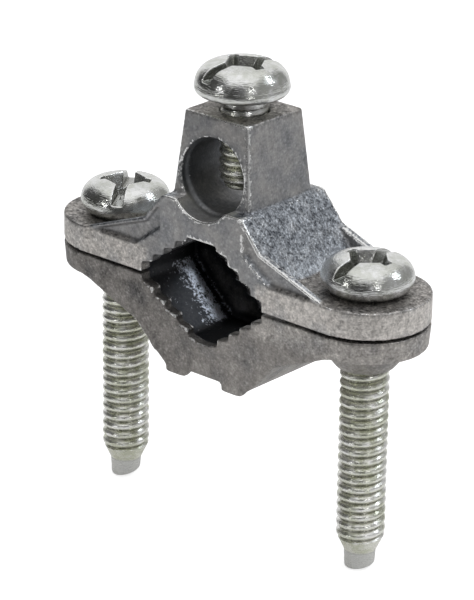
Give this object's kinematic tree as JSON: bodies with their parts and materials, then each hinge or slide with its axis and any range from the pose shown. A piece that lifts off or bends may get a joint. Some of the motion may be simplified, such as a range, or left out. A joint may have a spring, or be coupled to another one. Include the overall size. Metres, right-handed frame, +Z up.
{
  "type": "ground clamp",
  "caption": "Cast two-jaw pipe clamp with toothed V jaws, long clamping screws and a tower whose screw holds a bare earthing wire.",
  "frame": {"origin": "middle of the pipe opening along the pipe, between the two clamping screws, on the flat underside of the upper jaw, with the jaws closed", "axes": "+X from one clamping screw to the other, to the right in the picture; +Y along the pipe, away from the camera; +Z up through the tower, along all three screws, towards their heads"},
  "size_m": [0.0566, 0.016, 0.0622],
  "materials": {
    "casting": "as-cast zinc alloy, satin grey, worn bright on its edges",
    "screw": "bright zinc-plated steel"
  },
  "bodies": {
    "upper_jaw": {"upper_jaw": "casting"},
    "lower_jaw": {"lower_jaw": "casting"},
    "clamp_screw_left": {"clamp_screw_left": "screw"},
    "clamp_screw_right": {"clamp_screw_right": "screw"},
    "wire_screw": {"wire_screw": "screw"}
  },
  "joints": [
    {"name": "clamp_screw_left_turn", "type": "hinge", "parent": "upper_jaw", "child": "clamp_screw_left", "pos_m": [-0.0203, 0, 0], "axis": [0, 0, 1], "range_deg": [0, 6480]},
    {"name": "clamp_screw_right_turn", "type": "hinge", "parent": "upper_jaw", "child": "clamp_screw_right", "pos_m": [0.0203, 0, 0], "axis": [0, 0, 1], "range_deg": [0, 6480]},
    {"name": "lower_jaw_slide", "type": "slide", "parent": "upper_jaw", "child": "lower_jaw", "axis": [0, 0, -1], "range_m": [0, 0.02286]},
    {"name": "wire_screw_slide", "type": "slide", "parent": "upper_jaw", "child": "wire_screw", "axis": [0, 0, 1], "range_m": [-0.0014, 0.007]}
  ],
  "couplings": [
    {"joint": "clamp_screw_left_turn", "follows": "lower_jaw_slide", "rad_per_m": 4947.4},
    {"joint": "clamp_screw_right_turn", "follows": "lower_jaw_slide", "rad_per_m": 4947.4}
  ]
}
